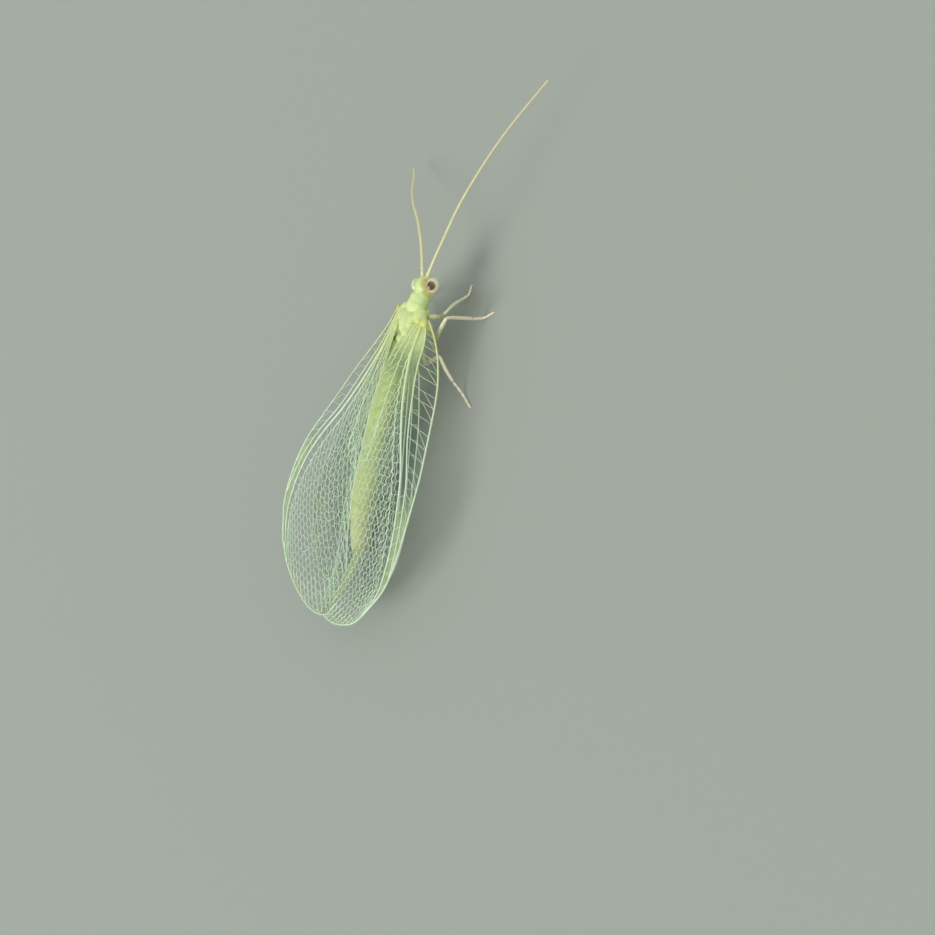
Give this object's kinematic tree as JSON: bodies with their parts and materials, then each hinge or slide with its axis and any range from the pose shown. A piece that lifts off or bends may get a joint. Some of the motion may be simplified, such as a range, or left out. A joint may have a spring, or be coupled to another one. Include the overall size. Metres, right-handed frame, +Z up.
{
  "type": "green lacewing",
  "caption": "Still, life-size green lacewing at rest: slender pale green body, long thread-like feelers, six thin legs and large clear net-veined wings laid over the back",
  "frame": {"origin": "on the ground, below the middle of the whole insect's box", "axes": "+Y towards the head, +X to the insect's right, +Z up from the ground it stands on"},
  "size_m": [0.0094, 0.0226, 0.0032],
  "materials": {
    "skin": "soft pale green skin, satin",
    "eye": "glossy copper-brown compound eye",
    "limb": "pale cream-green, satin",
    "wing": "clear membrane with pale green veins, slightly iridescent"
  },
  "bodies": {
    "root": {"head": "skin", "eye_left": "eye", "eye_right": "eye", "antenna_left": "limb", "antenna_right": "limb", "prothorax": "skin", "mesothorax": "skin", "metathorax": "skin", "abdomen": "skin", "tail_tip": "skin", "leg_fore_left": "limb", "leg_fore_right": "limb", "leg_mid_left": "limb", "leg_mid_right": "limb", "leg_hind_left": "limb", "leg_hind_right": "limb", "forewing_left": "wing", "forewing_right": "wing", "hindwing_left": "wing", "hindwing_right": "wing"}
  },
  "joints": []
}
